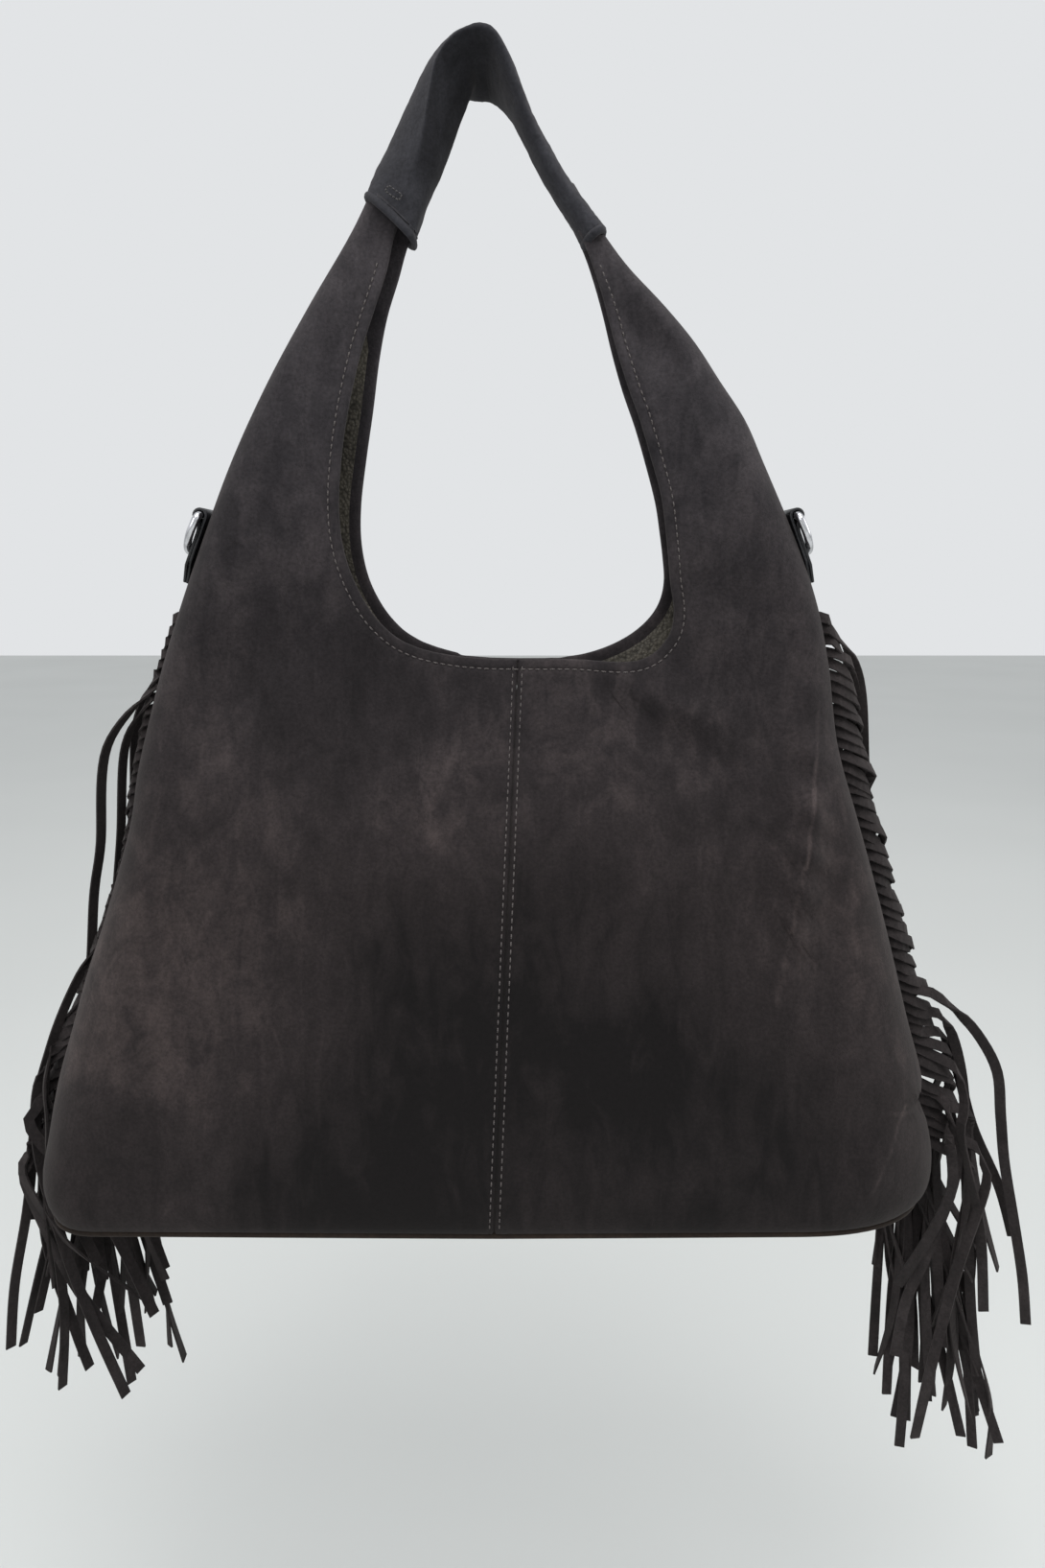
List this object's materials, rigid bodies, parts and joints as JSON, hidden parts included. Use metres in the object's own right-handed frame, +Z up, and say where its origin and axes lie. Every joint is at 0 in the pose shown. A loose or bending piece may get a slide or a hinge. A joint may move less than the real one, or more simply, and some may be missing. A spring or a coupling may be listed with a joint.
{
  "type": "hobo bag",
  "caption": "Slouchy suede hobo shoulder bag with curved horns joined by a sleeved strap, side D-rings, snap mouth and long knife-cut fringe down both side seams.",
  "frame": {"origin": "hang point: the underside of the shoulder sleeve at the middle of its bend, where a hook carries the bag", "axes": "+Z up from the base to the strap, +X across the bag to the right as seen from the front, the front face looks along -Y"},
  "size_m": [0.4794, 0.112, 0.651],
  "materials": {
    "suede": "brushed microsuede nap, charcoal brown",
    "base_suede": "brushed microsuede nap, brown",
    "sleeve_suede": "brushed microsuede nap, charcoal",
    "board": "fibre stiffener board",
    "facing": "pebble-grained coated cloth, grey brown",
    "lining": "plain woven lining",
    "core": "felted strap padding",
    "tab": "black folded tab cloth",
    "chrome": "polished",
    "snap_metal": "nickel plated",
    "washer_steel": "plain",
    "fringe_suede": "knife-cut microsuede strips"
  },
  "bodies": {
    "bag": {"front_panel_left": "suede", "front_panel_right": "suede", "back_panel_left": "suede", "back_panel_right": "suede", "base_panel": "base_suede", "base_board": "board", "facing_front": "facing", "facing_back": "facing", "lining_front": "lining", "lining_back": "lining", "shoulder_sleeve": "sleeve_suede", "strap_core": "core", "ring_tab_left": "tab", "ring_tab_right": "tab", "snap_socket": "snap_metal", "snap_stud": "snap_metal", "snap_washer_front": "washer_steel", "snap_washer_back": "washer_steel", "fringe_left": "fringe_suede", "fringe_right": "fringe_suede"},
    "left_ring": {"d_ring_left": "chrome"},
    "right_ring": {"d_ring_right": "chrome"}
  },
  "joints": [
    {"name": "left_ring_swing", "type": "hinge", "parent": "bag", "child": "left_ring", "pos_m": [-0.12121, 0, -0.18185], "axis": [0, 1, 0], "range_deg": [0, 150]},
    {"name": "right_ring_swing", "type": "hinge", "parent": "bag", "child": "right_ring", "pos_m": [0.13273, 0, -0.18186], "axis": [0, -1, 0], "range_deg": [0, 150]}
  ]
}
